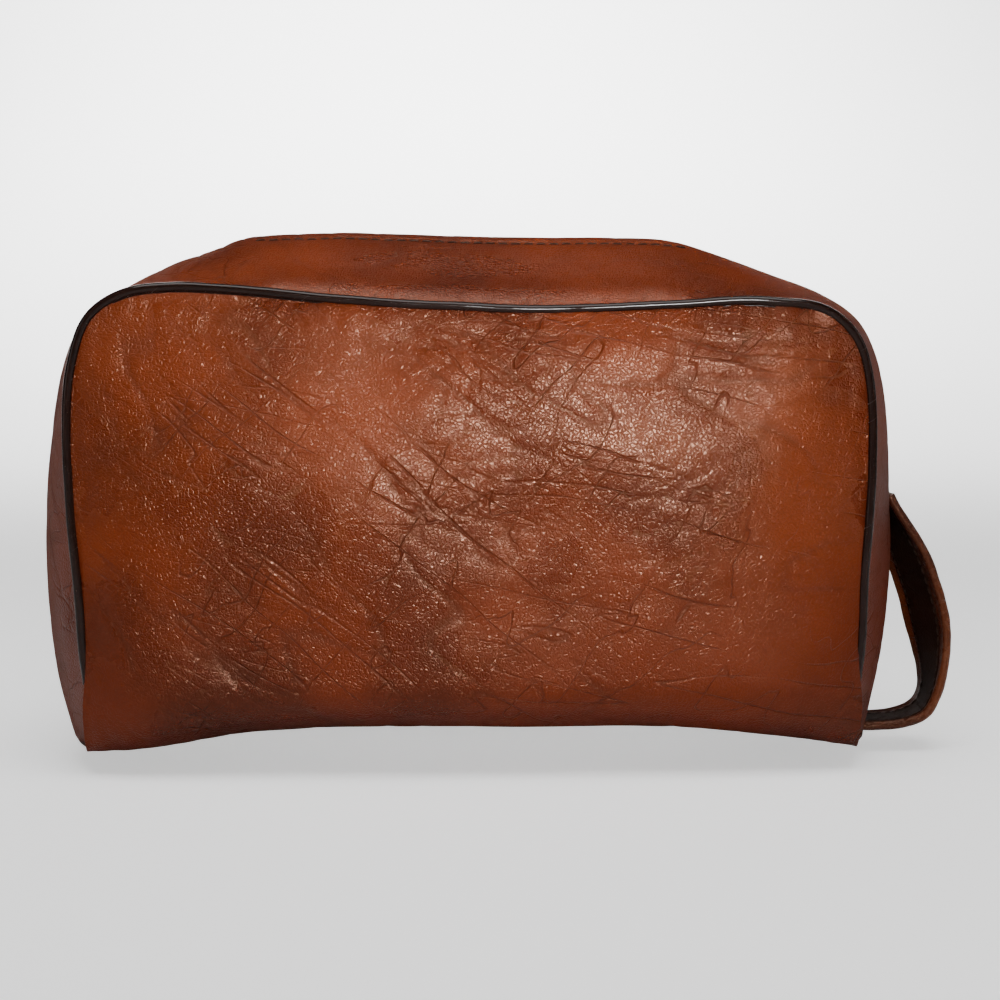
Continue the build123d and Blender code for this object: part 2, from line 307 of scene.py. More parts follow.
class Nodes:
    """Short hand for building a node tree."""

    def __init__(self, tree: bpy.types.NodeTree) -> None:
        """Wrap a tree."""
        self.tree = tree

    def add(self, kind: str, inputs: dict | None = None, **settings: object) -> bpy.types.Node:
        """Add a node, set its properties, and link or set its inputs.

        Args:
            kind: The node's type, without its ShaderNode prefix.
            inputs: Values or output sockets by input name or number.
            settings: Properties of the node.
        """
        node = self.tree.nodes.new(kind if kind.startswith("Node") else "ShaderNode" + kind)
        for name, value in settings.items():
            setattr(node, name, value)
        for key, value in (inputs or {}).items():
            if isinstance(value, bpy.types.NodeSocket):
                self.tree.links.new(value, node.inputs[key])
            else:
                node.inputs[key].default_value = value
        return node

    def math(self, operation: str, *values: object) -> bpy.types.NodeSocket:
        """Output of a Math node."""
        return self.add("Math", dict(enumerate(values)), operation=operation).outputs[0]

    def spread(
        self, value: object, low: float, high: float, to_low: float = 0.0, to_high: float = 1.0
    ) -> bpy.types.NodeSocket:
        """Output of a clamped Map Range node."""
        inputs = dict(enumerate((value, low, high, to_low, to_high)))
        return self.add("MapRange", inputs, interpolation_type="SMOOTHSTEP").outputs[0]

    def mix(
        self, share: object, first: object, second: object, blend: str = "MIX"
    ) -> bpy.types.NodeSocket:
        """Colour output of a Mix node."""
        node = self.add("Mix", data_type="RGBA", blend_type=blend)
        for key, value in ((0, share), (6, first), (7, second)):
            if isinstance(value, bpy.types.NodeSocket):
                self.tree.links.new(value, node.inputs[key])
            else:
                node.inputs[key].default_value = value
        return node.outputs[2]

    def noise(
        self, vector: object, scale: float, detail: float = 3.0, rough: float = 0.55
    ) -> bpy.types.NodeSocket:
        """Value output of a Noise Texture node."""
        inputs = {"Vector": vector, "Scale": scale, "Detail": detail, "Roughness": rough}
        return self.add("TexNoise", inputs).outputs[0]

    def stretched(
        self, vector: object, scale: Sequence[float], turn: float = 0.0
    ) -> bpy.types.NodeSocket:
        """The vector turned about Y, then scaled."""
        turned = self.add("Mapping", {"Vector": vector, "Rotation": (0, math.radians(turn), 0)})
        return self.add("Mapping", {"Vector": turned.outputs[0], "Scale": scale}).outputs[0]


def effect(name: str, inputs: Sequence[tuple[str, str, object]], outputs: Sequence[str]) -> tuple:
    """Start a node group.

    Args:
        name: Name of the group.
        inputs: Name, socket type and default of each input.
        outputs: Names of the outputs, all of them values.

    Returns:
        The group, its Nodes, and its input node.
    """
    tree = bpy.data.node_groups.new(name, "ShaderNodeTree")
    for label, kind, default in inputs:
        socket = tree.interface.new_socket(label, in_out="INPUT", socket_type=kind)
        if default is not None:
            socket.default_value = default
    for label in outputs:
        tree.interface.new_socket(label, in_out="OUTPUT", socket_type="NodeSocketFloat")
    nodes = Nodes(tree)
    return tree, nodes, nodes.add("NodeGroupInput")


class Effects:
    """Effects that several finishes share, each built once."""

    def __init__(self) -> None:
        """Build the groups."""
        self.grain = self._grain()
        self.creases = self._creases()
        self.blotches = self._blotches()
        self.weave = self._weave()
        self.scuffs = self._scuffs()

    def _grain(self) -> bpy.types.NodeTree:
        """Pebbles of leather grain, with the grooves between them as a mask."""
        tree, n, given = effect(
            "pebble_grain",
            [("Vector", "NodeSocketVector", None), ("Scale", "NodeSocketFloat", 900.0)],
            ["Height", "Groove"],
        )
        vector, scale = given.outputs[0], given.outputs[1]
        warp = n.add("TexNoise", {"Vector": vector, "Scale": 260.0, "Detail": 2.0})
        moved = n.add(
            "VectorMath",
            {0: warp.outputs[1], 1: (0.0016, 0.0016, 0.0016), 2: vector},
            operation="MULTIPLY_ADD",
        ).outputs[0]
        cells = n.add(
            "TexVoronoi", {"Vector": moved, "Scale": scale}, feature="DISTANCE_TO_EDGE"
        ).outputs[0]
        pebble = n.spread(cells, 0.0, 0.22)
        fine = n.noise(moved, 2600.0, 2.0)
        height = n.math("MULTIPLY_ADD", fine, 0.25, pebble)
        groove = n.math("SUBTRACT", 1.0, n.spread(cells, 0.0, 0.1))
        n.add("NodeGroupOutput", {0: height, 1: groove})
        return tree

    def _creases(self) -> bpy.types.NodeTree:
        """Fine lines of a hide that has been folded, running along the stretched direction."""
        tree, n, given = effect(
            "fine_creases",
            [
                ("Vector", "NodeSocketVector", None),
                ("Scale", "NodeSocketFloat", 90.0),
                ("Cover", "NodeSocketFloat", 0.5),
            ],
            ["Height", "Line"],
        )
        vector, scale, cover = given.outputs[:3]
        patchy = n.noise(vector, 24.0, 2.0)
        shown = n.spread(n.math("SUBTRACT", patchy, cover), -0.08, 0.1)
        lines = []
        for turn, thin, length in ((-36.0, 0.016, 0.13), (-9.0, 0.014, 0.14), (52.0, 0.008, 0.3)):
            long = n.stretched(vector, (length, 0.6, 1.0), turn)
            field = n.noise(long, scale, 1.6, 0.4)
            off = n.math("ABSOLUTE", n.math("SUBTRACT", field, 0.5))
            lines.append(n.math("SUBTRACT", 1.0, n.spread(off, 0.0, thin)))
        right = n.spread(n.add("SeparateXYZ", {0: vector}).outputs[0], -0.01, 0.06)
        lines[0] = n.math("MULTIPLY", lines[0], n.math("SUBTRACT", 1.0, right))
        lines[1] = n.math("MULTIPLY", lines[1], n.math("MULTIPLY_ADD", right, 0.6, 0.4))
        line = n.math("MAXIMUM", n.math("MAXIMUM", *lines[:2]), lines[2])
        line = n.math("MULTIPLY", line, shown)
        n.add("NodeGroupOutput", {0: n.math("SUBTRACT", 1.0, line), 1: line})
        return tree

    def _blotches(self) -> bpy.types.NodeTree:
        """Soft cloudy variation from uneven dye."""
        tree, n, given = effect(
            "dye_blotches",
            [("Vector", "NodeSocketVector", None), ("Scale", "NodeSocketFloat", 14.0)],
            ["Cloud", "Fleck"],
        )
        vector, scale = given.outputs[:2]
        cloud = n.add("TexNoise", {"Vector": vector, "Scale": scale, "Detail": 5.0})
        fleck = n.noise(vector, 210.0, 3.0, 0.65)
        n.add("NodeGroupOutput", {0: n.spread(cloud.outputs[0], 0.3, 0.7), 1: fleck})
        return tree

    def _weave(self) -> bpy.types.NodeTree:
        """Crossing threads of a plain weave."""
        tree, n, given = effect(
            "plain_weave",
            [("Vector", "NodeSocketVector", None), ("Pitch", "NodeSocketFloat", 0.0005)],
            ["Height", "Gap"],
        )
        vector, pitch = given.outputs[:2]
        turns = n.math("DIVIDE", 6.2832, pitch)
        axes = n.add("SeparateXYZ", {0: vector})
        along = n.math("MULTIPLY", n.math("ADD", axes.outputs[0], axes.outputs[1]), turns)
        up = n.math("MULTIPLY", n.math("ADD", axes.outputs[2], axes.outputs[1]), turns)
        height = n.math("MULTIPLY", n.math("SINE", along), n.math("SINE", up))
        n.add("NodeGroupOutput", {0: height, 1: n.spread(n.math("ABSOLUTE", height), 0.25, 0.0)})
        return tree

    def _scuffs(self) -> bpy.types.NodeTree:
        """Hair scratches and dust specks on smooth surfaces."""
        tree, n, given = effect(
            "scuffs",
            [("Vector", "NodeSocketVector", None), ("Amount", "NodeSocketFloat", 0.5)],
            ["Scratch", "Dust"],
        )
        vector, amount = given.outputs[:2]
        long = n.stretched(vector, (60.0, 60.0, 1400.0), 35.0)
        scratch = n.spread(n.noise(long, 1.0, 2.0), 0.66, 0.72)
        dust = n.spread(n.noise(vector, 1500.0, 2.0), 0.68, 0.78)
        n.add(
            "NodeGroupOutput",
            {0: n.math("MULTIPLY", scratch, amount), 1: n.math("MULTIPLY", dust, amount)},
        )
        return tree


@dataclass
class Finish:
    """Base of the finishes: a material with a Principled surface."""

    name: str
    effects: Effects

    def start(self, coordinates: str = "rest") -> tuple[bpy.types.Material, Nodes, object]:
        """Make the material.

        Args:
            coordinates: "rest" for the piece's painted rest position, "object" for its own axes.

        Returns:
            The material, its Nodes and the coordinate output.
        """
        material = bpy.data.materials.new(self.name)
        material.use_nodes = True
        material.node_tree.nodes.clear()
        nodes = Nodes(material.node_tree)
        if coordinates == "rest":
            place = nodes.add("Attribute", attribute_name="rest").outputs["Vector"]
        else:
            place = nodes.add("TexCoord").outputs["Object"]
        return material, nodes, place

    def surface(self, nodes: Nodes, inputs: dict) -> None:
        """Add the Principled surface and the material output."""
        shader = nodes.add("BsdfPrincipled", inputs)
        nodes.add("OutputMaterial", {"Surface": shader.outputs[0]})

    def group(self, nodes: Nodes, tree: bpy.types.NodeTree, inputs: dict) -> bpy.types.Node:
        """Add one of the shared effects."""
        node = nodes.add("Group", node_tree=tree)
        for key, value in inputs.items():
            if isinstance(value, bpy.types.NodeSocket):
                nodes.tree.links.new(value, node.inputs[key])
            else:
                node.inputs[key].default_value = value
        return node


@dataclass
class CoverLeather(Finish):
    """Glazed red-brown hide with pebble grain and dye clouds, darkened with painted shade in its
    creases, its grain grooves and along the low mask.
    """

    bright: tuple = linear(104, 36, 5)
    deep: tuple = linear(70, 21, 4)
    shadow: tuple = linear(34, 10, 4)
    rough: float = 0.24
    gloss: float = 0.42
    grain_depth: float = 0.00007
    crease_depth: float = 0.0003

    def make(self) -> bpy.types.Material:
        """Build the material."""
        material, n, place = self.start()
        grain = self.group(n, self.effects.grain, {"Vector": place, "Scale": 850.0})
        creases = self.group(
            n, self.effects.creases, {"Vector": place, "Scale": 88.0, "Cover": 0.49}
        )
        clouds = self.group(n, self.effects.blotches, {"Vector": place, "Scale": 17.0})
        # Painted shade: the crease mask darkens the leather where the hide folds in.
        crease = n.add("Attribute", attribute_name="crease").outputs["Fac"]
        low = n.add("Attribute", attribute_name="low").outputs["Fac"]
        colour = n.mix(clouds.outputs["Cloud"], self.deep, self.bright)
        # Painted shade: the low mask darkens the bag towards the bottom and the strap on its flat faces
        # away from the rims.
        colour = n.mix(n.math("MULTIPLY", low, 0.6), colour, linear(190, 150, 120), "MULTIPLY")
        smooth = n.add("Attribute", attribute_name="smooth").outputs["Fac"]
        worn = n.math("SUBTRACT", 1.0, n.math("MULTIPLY", smooth, 0.75))
        # Painted shade along the fine crease lines and in the deep creases, mixed towards the shadow
        # colour.
        lines = n.math("MULTIPLY", n.math("MULTIPLY", creases.outputs["Line"], worn), 0.3)
        dark = n.math("MAXIMUM", n.math("MULTIPLY", crease, 0.28), lines)
        colour = n.mix(dark, colour, self.shadow)
        # Painted shade in the grooves between the grain pebbles.
        groove = n.math("MULTIPLY", grain.outputs["Groove"], 0.2)
        colour = n.mix(groove, colour, self.shadow)
        rough = n.math("MULTIPLY_ADD", clouds.outputs["Cloud"], 0.07, self.rough)
        rough = n.math("MULTIPLY_ADD", dark, 0.2, rough)
        facing = n.add("LayerWeight", {"Blend": 0.5}).outputs["Facing"]
        rough = n.math("MULTIPLY_ADD", n.spread(facing, 0.45, 1.0), 0.45, rough)
        bump = n.add(
            "Bump",
            {
                "Strength": 1.0,
                "Distance": self.crease_depth,
                "Height": n.math("MULTIPLY", creases.outputs["Height"], worn),
            },
        ).outputs[0]
        bump = n.add(
            "Bump",
            {
                "Strength": 1.0,
                "Distance": self.grain_depth,
                "Height": grain.outputs["Height"],
                "Normal": bump,
            },
        ).outputs[0]
        self.surface(
            n,
            {
                "Base Color": colour,
                "Roughness": rough,
                "Normal": bump,
                "Specular IOR Level": self.gloss,
                # The warm specular tint stands in for warm lamp light on the highlights.
                "Specular Tint": (1.0, 0.54, 0.37, 1.0),
            },
        )
        return material


@dataclass
class Vinyl(Finish):
    """Smooth dark piping with a polish and a little dust."""

    colour: tuple = linear(26, 13, 9)

    def make(self) -> bpy.types.Material:
        """Build the material."""
        material, n, place = self.start()
        marks = self.group(n, self.effects.scuffs, {"Vector": place, "Amount": 0.5})
        clouds = self.group(n, self.effects.blotches, {"Vector": place, "Scale": 40.0})
        lighter = tuple(min(1.0, c * 1.6) for c in self.colour[:3]) + (1.0,)
        colour = n.mix(n.math("MULTIPLY", clouds.outputs["Cloud"], 0.5), self.colour, lighter)
        colour = n.mix(n.math("MULTIPLY", marks.outputs["Dust"], 0.3), colour, linear(150, 130, 118))
        rough = n.math("MULTIPLY_ADD", clouds.outputs["Fleck"], 0.12, 0.06)
        rough = n.math("MULTIPLY_ADD", marks.outputs["Scratch"], 0.4, rough)
        bump = n.add(
            "Bump",
            {"Strength": 0.6, "Distance": 0.0001, "Height": clouds.outputs["Fleck"]},
        ).outputs[0]
        self.surface(
            n,
            {"Base Color": colour, "Roughness": rough, "Normal": bump, "Specular IOR Level": 0.2},
        )
        return material


@dataclass
class Cloth(Finish):
    """Plain woven cloth: the lining, the zip tape."""

    colour: tuple = linear(92, 74, 52)
    pitch: float = 0.0006
    rest: bool = True

    def make(self) -> bpy.types.Material:
        """Build the material."""
        material, n, place = self.start("rest" if self.rest else "object")
        weave = self.group(n, self.effects.weave, {"Vector": place, "Pitch": self.pitch})
        clouds = self.group(n, self.effects.blotches, {"Vector": place, "Scale": 30.0})
        dark = tuple(c * 0.45 for c in self.colour[:3]) + (1.0,)
        # Painted shade in the gaps between the threads.
        colour = n.mix(n.math("MULTIPLY", weave.outputs["Gap"], 0.7), self.colour, dark)
        colour = n.mix(n.math("MULTIPLY", clouds.outputs["Cloud"], 0.3), colour, dark)
        rough = n.math("MULTIPLY_ADD", clouds.outputs["Fleck"], 0.15, 0.72)
        bump = n.add(
            "Bump",
            {"Strength": 0.8, "Distance": self.pitch * 0.3, "Height": weave.outputs["Height"]},
        ).outputs[0]
        self.surface(
            n,
            {"Base Color": colour, "Roughness": rough, "Normal": bump, "Sheen Weight": 0.25},
        )
        return material


@dataclass
class Thread(Finish):
    """Twisted sewing thread."""

    colour: tuple = linear(34, 19, 11)
    rest: bool = True

    def make(self) -> bpy.types.Material:
        """Build the material."""
        material, n, place = self.start("rest" if self.rest else "object")
        twist = n.add(
            "TexWave",
            {"Vector": n.stretched(place, (1.0, 1.0, 1.0), 40.0), "Scale": 900.0, "Distortion": 1.0},
        ).outputs[1]
        ridge_highlight = tuple(min(1.0, c * 3.5 + 0.01) for c in self.colour[:3]) + (1.0,)
        # Painted highlight: the thread is lighter along the ridges of its twist.
        colour = n.mix(n.math("MULTIPLY", twist, 0.5), self.colour, ridge_highlight)
        rough = n.math("MULTIPLY_ADD", twist, 0.2, 0.45)
        bump = n.add("Bump", {"Strength": 0.7, "Distance": 0.00008, "Height": twist}).outputs[0]
        self.surface(
            n,
            {"Base Color": colour, "Roughness": rough, "Normal": bump, "Specular IOR Level": 0.2},
        )
        return material


@dataclass
class Metal(Finish):
    """Aged metal of the zip, brushed, with grime in soft cloudy patches."""

    colour: tuple = linear(196, 160, 96)
    rest: bool = False

    def make(self) -> bpy.types.Material:
        """Build the material."""
        material, n, place = self.start("rest" if self.rest else "object")
        marks = self.group(n, self.effects.scuffs, {"Vector": place, "Amount": 0.8})
        clouds = self.group(n, self.effects.blotches, {"Vector": place, "Scale": 160.0})
        grime = n.math("MULTIPLY", clouds.outputs["Cloud"], 0.55)
        colour = n.mix(grime, self.colour, linear(74, 56, 34))
        rough = n.math("MULTIPLY_ADD", clouds.outputs["Cloud"], 0.25, 0.22)
        rough = n.math("MULTIPLY_ADD", marks.outputs["Scratch"], 0.25, rough)
        metallic = n.math("MULTIPLY_ADD", grime, -0.4, 1.0)
        bump = n.add(
            "Bump", {"Strength": 0.4, "Distance": 0.00005, "Height": clouds.outputs["Fleck"]}
        ).outputs[0]
        self.surface(
            n, {"Base Color": colour, "Roughness": rough, "Metallic": metallic, "Normal": bump}
        )
        return material


@dataclass
class Paper(Finish):
    """Matt pale studio floor."""

    colour: tuple = (0.78, 0.78, 0.78, 1.0)
    lift: float = 0.72

    def make(self) -> bpy.types.Material:
        """Build the material."""
        material, n, place = self.start("object")
        tooth = n.noise(place, 300.0, 2.0)
        rough = n.math("MULTIPLY_ADD", tooth, 0.1, 0.85)
        seen = n.add("LightPath").outputs["Is Camera Ray"]
        self.surface(
            n,
            {
                "Base Color": self.colour,
                "Roughness": rough,
                "Specular IOR Level": 0.1,
                "Emission Color": (1.0, 1.0, 1.0, 1.0),
                "Emission Strength": n.math("MULTIPLY", seen, self.lift),
            },
        )
        return material


# ---------------------------------------------------------------- the bag's form
SEAM = (
    (-122.6, 2.0), (-123.6, 24.0), (-125.4, 52.0), (-127.6, 80.0), (-128.4, 104.0),
    (-126.8, 124.0), (-121.8, 139.4), (-110.5, 147.8), (-96.0, 150.0), (-80.0, 149.4),
    (-66.0, 148.3), (-45.0, 146.4), (-22.0, 144.7), (0.0, 143.6), (22.0, 142.9),
    (45.0, 143.6), (64.0, 144.6), (79.0, 145.4), (95.0, 145.5), (110.0, 143.6),
    (120.2, 136.4), (125.6, 124.0), (127.4, 104.0), (126.8, 80.0), (125.2, 54.0),
    (124.2, 26.0), (122.4, 2.0),
)
CREST = (
    (-133.0, 1.6), (-138.6, 26.0), (-141.2, 56.0), (-140.4, 84.0), (-137.6, 108.0),
    (-133.6, 126.0), (-126.6, 139.2), (-115.5, 148.4), (-101.0, 156.2), (-85.0, 161.9),
    (-71.0, 166.7), (-46.0, 168.3), (-23.0, 167.9), (0.0, 167.5), (23.0, 167.2),
    (46.0, 166.9), (66.0, 166.0), (82.0, 161.4), (100.0, 154.8), (116.0, 148.4),
    (128.6, 139.6), (135.4, 126.0), (139.2, 106.0), (141.0, 82.0), (141.4, 56.0),
    (139.0, 28.0), (133.5, 1.6),
)


class Hide:
    """Creases, dents and puckers that use has worked into the leather, as heights in mm."""

    def __init__(self) -> None:
        """Make the noise fields."""
        self._wide, self._long, self._net, self._mask = (Noise(seed) for seed in (3, 11, 29, 47))

    def _lines(self, noise: Noise, points: Array, turn: Array, size: Sequence[float]) -> Array:
        """A noise field stretched along a direction that turns about Y."""
        warp = 5.0 * np.stack([self._mask(points / 23.0 + i * 7.3) for i in range(2)], -1)
        x, z = points[..., 0] + warp[..., 0], points[..., 2] + warp[..., 1]
        along = x * np.cos(turn) + z * np.sin(turn)
        over = z * np.cos(turn) - x * np.sin(turn)
        place = np.stack([along / size[0], points[..., 1] / size[2], over / size[1]], -1)
        return noise(place)

    def work(
        self, points: Array, seam: Array, strength: float | Array = 1.0
    ) -> tuple[Array, Array]:
        """How far the surface stands in or out.

        Args:
            points: Smooth surface points.
            seam: Distance of each point from the nearest piped seam.
            strength: Share of the full effect.

        Returns:
            Heights in mm and how deep in a crease each point is, 0 to 1.
        """
        turn = np.radians(np.interp(points[..., 0], (-130, -40, 20, 70, 130), (-52, -36, -24, -9, -4)))
        calm = smoothstep(0.0, 16.0, seam)
        dents = self._wide(points / 62.0) * 2.0 + self._wide(points / 27.0 + 9.0) * 0.35
        folds = self._lines(self._long, points, turn, (62.0, 17.0, 30.0))
        cover = smoothstep(-0.25, 0.3, self._mask(points / 48.0 + 2.0))
        line = np.exp(-((folds / 0.055) ** 2)) * cover
        pillow = np.minimum(np.abs(folds), 0.4) * (0.3 + 0.7 * cover)
        fine = self._lines(self._net, points, turn + 0.5, (24.0, 8.0, 14.0))
        patch = smoothstep(-0.15, 0.35, self._mask(points / 36.0 + 31.0))
        small = np.exp(-((fine / 0.08) ** 2)) * patch
        pucker = self._net(points / (4.2, 13.0, 13.0)) * np.exp(-seam / 7.0)
        height = dents + 0.42 * pillow - 0.24 * line + 0.16 * np.abs(fine) - 0.14 * small
        depth = np.clip(line + 0.6 * small * calm, 0, 1) * (0.25 + 0.75 * calm)
        return strength * (calm * height + 0.8 * pucker * smoothstep(0, 2.5, seam)), depth


@dataclass
class Form:
    """Smooth outer surface of the bag's gusset and top band, and where its seams run.

    A key runs along the band from the left foot (0) over the top to the right foot.
    """

    depth: float = 43.3
    foot_radius: float = 10.0
    foot_height: float = 22.0
    slot: float = 7.4
    slot_end: float = 75.0
    piping_y: float = 45.0

    def __post_init__(self) -> None:
        """Sample the two outlines densely."""
        self.keys = np.linspace(0, len(SEAM) - 1, 2601)
        self.seam_line = spline(SEAM, self.keys)
        self.crest_line = spline(CREST, self.keys)

    def seam(self, key: Array) -> Array:
        """Seam outline, x and z."""
        return np.stack([np.interp(key, self.keys, self.seam_line[:, i]) for i in (0, 1)], -1)

    def crest(self, key: Array) -> Array:
        """Outline half way between the seams, x and z."""
        return np.stack([np.interp(key, self.keys, self.crest_line[:, i]) for i in (0, 1)], -1)

    def key_at(self, x: float) -> float:
        """Key where the crest passes x along the top."""
        top = slice(700, 1901)
        return float(np.interp(x, self.crest_line[top, 0], self.keys[top]))

    def half_depth(self, key: Array) -> Array:
        """Distance of the seam from the middle plane, drawn in round the foot."""
        height = np.clip(self.seam(key)[..., 1] - 2.0, 0, self.foot_height)
        left = 1 - height / self.foot_height
        return self.depth - self.foot_radius * (1 - np.sqrt(1 - left**2))

    def band(self, key: Array, reach: Array) -> tuple[Array, Array]:
        """Points of the band.

        Args:
            key: Keys along the band, one for each row.
            reach: Signed distances from the middle plane, as shares of the half depth beyond
                the slot edge; -1 is the front seam, 1 the back seam.

        Returns:
            Points with shape (rows, columns, 3) and each one's distance from its seam.
        """
        key = np.asarray(key, float)[:, None]
        reach = np.broadcast_to(np.asarray(reach, float), (len(key), np.size(reach)))
        seam, crest = self.seam(key), self.crest(key)
        deep = self.half_depth(key)
        on_top = smoothstep(118.0, 78.0, np.abs(crest[..., 0])) * (crest[..., 1] > 135)
        flat = self.slot * on_top
        y = np.sign(reach) * (self.slot + (deep - self.slot) * np.abs(reach))
        share = np.clip((np.abs(y) - flat) / (deep - flat), 0, 1)
        power = 2.1 - 0.88 * on_top
        weight = (share**power)[..., None]
        flat_points = crest * (1 - weight) + seam * weight
        points = np.stack([flat_points[..., 0], y, flat_points[..., 1]], -1)
        return points, deep - np.abs(y)


@dataclass
class Bag:
    """Everything sewn together: body sheet, gussets, top band, lining, piping and thread."""

    form: Form
    hide: Hide
    effects: Effects
    leather: float = 1.6
    fold: float = 5.0
    lining_gap: float = 2.5
    chain_z: float = 163.23
    tape_thickness: float = 0.6
    bulge: float = 8.0
    arch: float = 6.8
    overhang: float = 2.2
    piping_radius: float = 1.45
    stitch_pitch: float = 4.2
    still_x: float = 45.0
    loose_x: float = 19.7
    loose_y: float = 22.3
    bend_z: float = 148.0

    def __post_init__(self) -> None:
        """Make the finishes."""
        self.cover = CoverLeather("cover_leather", self.effects).make()
        self.vinyl = Vinyl("piping_vinyl", self.effects).make()
        self.cloth = Cloth("lining_cloth", self.effects).make()
        self.tape = Cloth("zip_tape", self.effects, linear(44, 28, 20), 0.0005).make()
        self.thread = Thread("thread", self.effects).make()
        self.brass = Metal("zip_metal", self.effects, rest=True).make()

    # ------------------------------------------------------------ shared steps
    def _worked(self, points: Array, seam: Array, strength: float | Array = 1.0) -> tuple:
        """Surface with its creases, its normals, and the masks that go with them."""
        normals = grid_normals(points)
        height, crease = self.hide.work(points, seam, strength)
        points = points + normals * height[..., None]
        # Painted shade: the low mask darkens the leather towards the bottom, and the crease mask
        # darkens it in the creases.
        low = smoothstep(95.0, 5.0, points[..., 2])
        return points, grid_normals(points), {"crease": crease, "low": low}

    def _follow(self, piece: bpy.types.Object, side: Side, end: End) -> None:
        """Bake a quarter of the top band's transform in place; the still and loose points are worked
        out but not used.
        """
        still = (end.value * self.still_x, 0.0, self.bend_z)
        loose = (end.value * self.loose_x, -side.value * self.loose_y, self.bend_z)
        still, loose = (tuple(c * MM for c in place) for place in (still, loose))
        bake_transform(piece)

    def _keys(self, first: float, last: float, spacing: float) -> Array:
        """Keys at even steps along the crest between two keys."""
        dense = np.linspace(first, last, 900)
        return even_steps(self.form.crest(dense), dense, spacing)

    # ------------------------------------------------------------ gussets and top band
    def gusset(self, end: End) -> None:
        """One end of the band, from the foot to the end of the slot."""
        last = len(SEAM) - 1
        split = self.form.key_at(end.value * self.form.slot_end)
        keys = self._keys(0, split, 1.2) if end is End.LEFT else self._keys(split, last, 1.2)
        half = np.linspace(1, 1e-6, 34)
        middle = np.linspace(-0.99, 0.99, 13)[1:-1]
        front, seam_f = self.form.band(keys, -half)
        back, seam_b = self.form.band(keys, half[::-1])
        inner = self._middle(front[:, -1], back[:, 0], middle)
        points = np.concatenate([front, inner, back], axis=1)
        between = np.repeat(seam_f[:, -1:], len(middle), axis=1)
        seam = np.concatenate([seam_f, between, seam_b], axis=1)
        points, normals, masks = self._worked(points, seam, 0.7)
        data = shell(points, normals, self.leather, **masks)
        piece = data.build(f"gusset_{end.name.lower()}", self.cover)
        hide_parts(f"end_gusset_{end.name.lower()}")
        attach(piece, "bag")
        lining, _ = self.form.band(keys[::3], np.linspace(-0.97, 0.97, 28))
        name = end.name.lower()
        self._lining(lining, f"end_cloth_{name}", f"end_lining_{name}")

    def _middle(self, front: Array, back: Array, shares: Array) -> Array:
        """Columns between the two edges of the slot, past its end."""
        t = (shares[None, :, None] + 1) / 2
        points = front[:, None] * (1 - t) + back[:, None] * t
        past = np.clip(np.abs(points[..., 0]) - self.form.slot_end, 0, None)
        on_top = smoothstep(130.0, 150.0, points[..., 2])
        dish = 1.8 * np.exp(-((past / 9.0) ** 2)) * smoothstep(1.0, 0.55, np.abs(shares))
        points[..., 2] -= dish * on_top
        return points

    def _lining(self, points: Array, name: str, node: str) -> None:
        """Thin cloth inside a piece of the band."""
        normals = grid_normals(points)
        if (normals * (points - np.array([0, 0, 80.0]))).sum() < 0:
            normals = -normals
            points, normals = points[::-1], normals[::-1]
        data = shell(points - normals * self.lining_gap, normals, 0.4)
        piece = data.build(name, self.cloth)
        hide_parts(node)
        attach(piece, "bag")

    def top_quarter(self, side: Side, end: End) -> None:
        """A quarter of the top band, its folded edge, lining, tape, teeth and thread."""
        edge = self.form.key_at(end.value * self.form.slot_end)
        middle = self.form.key_at(0.0)
        keys = self._keys(min(edge, middle), max(edge, middle), 1.0)
        spread = np.linspace(1, 1e-6, 34)
        points, seam = self.form.band(keys, side.value * spread)
        if side is Side.BACK:
            points, seam = points[:, ::-1], seam[:, ::-1]
        shape = 1.3 * np.exp(-(((seam - 5.0) / 6.5) ** 2)) - 0.6 * np.exp(-(((seam - 31.5) / 0.8) ** 2))
        shape -= 1.3 * np.exp(-((5.0 / 6.5) ** 2)) * np.exp(-seam / 1.5)
        points = points + grid_normals(points) * (shape * self._beyond(points))[..., None]
        points, normals, masks = self._worked(points, seam, 0.7 - 0.3 * self._beyond(points))
        # Half as much painted crease shade on the top band.
        masks["crease"] = masks["crease"] * 0.5
        masks["smooth"] = np.ones_like(seam)
        if side is Side.BACK:
            points, normals = points[:, ::-1], normals[:, ::-1]
            masks = {name: value[:, ::-1] for name, value in masks.items()}
        self._band_piece(points, normals, masks, side, end)
        self._stitches(points, normals, side, end)
        self._tape(keys, points[:, -1], side, end)
        self._teeth(side, end)

